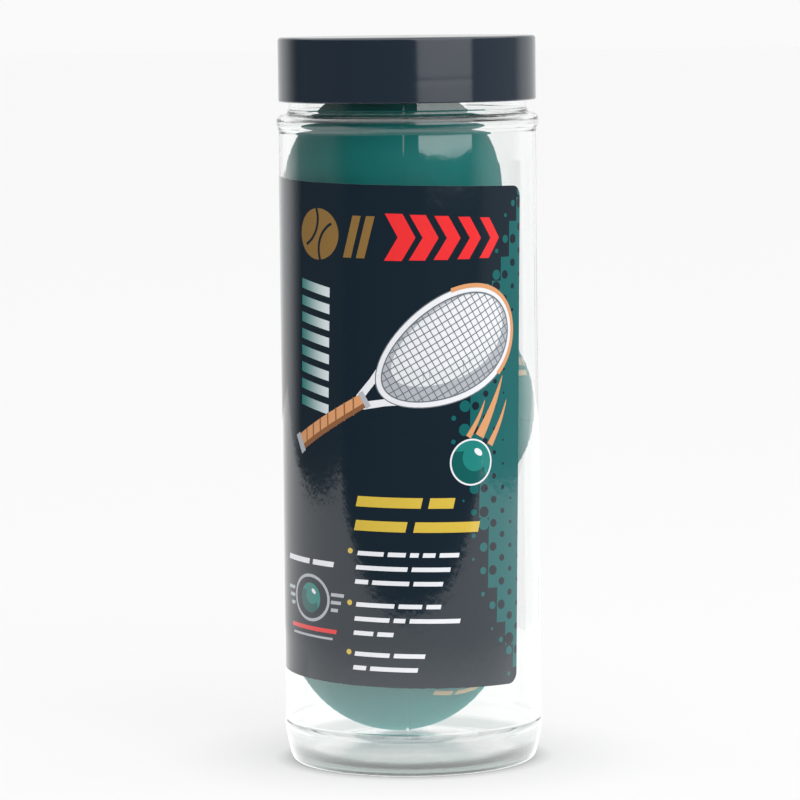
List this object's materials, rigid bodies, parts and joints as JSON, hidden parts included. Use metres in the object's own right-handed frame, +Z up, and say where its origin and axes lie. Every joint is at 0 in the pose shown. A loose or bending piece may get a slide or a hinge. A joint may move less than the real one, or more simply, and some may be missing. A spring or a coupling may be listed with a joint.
{
  "type": "racquetball can",
  "caption": "Clear screw-lid can of racquetballs: threaded jar with push-up base, screw lid with foam liner, wrap label, hollow rubber balls stacked inside.",
  "frame": {"origin": "middle of the foot ring, on the surface that the can stands on", "axes": "+Z up the can's axis; -Y is the front, where the label faces; +X is on the viewer's right"},
  "size_m": [0.0684, 0.0684, 0.1897],
  "materials": {
    "clear_jar": "clear blown plastic, glossy",
    "lid_plastic": "smooth blue-black moulded plastic",
    "liner_foam": "white foam sheet",
    "label_film": "glossy printed film",
    "ball_rubber": "buffed green rubber, satin"
  },
  "bodies": {
    "can": {"jar": "clear_jar", "label": "label_film"},
    "liner": {"lid_liner": "liner_foam"},
    "lid": {"lid": "lid_plastic"},
    "bottom_ball": {"bottom_ball_upper_half": "ball_rubber", "bottom_ball_lower_half": "ball_rubber"},
    "middle_ball": {"middle_ball_upper_half": "ball_rubber", "middle_ball_lower_half": "ball_rubber"},
    "top_ball": {"top_ball_upper_half": "ball_rubber", "top_ball_lower_half": "ball_rubber"}
  },
  "joints": [
    {"name": "lid_lift", "type": "slide", "parent": "can", "child": "liner", "axis": [0, 0, 1], "range_m": [0, 0.0212]},
    {"name": "lid_turn", "type": "hinge", "parent": "liner", "child": "lid", "pos_m": [0, 0, 0.1871], "axis": [0, 0, 1], "range_deg": [0, 1800]},
    {"name": "balls_shift", "type": "slide", "parent": "can", "child": "bottom_ball", "axis": [0, 0, 1], "range_m": [0, 0.008]},
    {"name": "middle_ball_roll", "type": "hinge", "parent": "bottom_ball", "child": "middle_ball", "pos_m": [0.00398, 0, 0.0928], "axis": [0, 1, 0], "continuous": true},
    {"name": "top_ball_roll", "type": "hinge", "parent": "bottom_ball", "child": "top_ball", "pos_m": [-0.00398, 0, 0.1497], "axis": [0, 1, 0], "continuous": true}
  ],
  "couplings": [
    {"joint": "lid_lift", "follows": "lid_turn", "m_per_rad": 0.00067376}
  ]
}
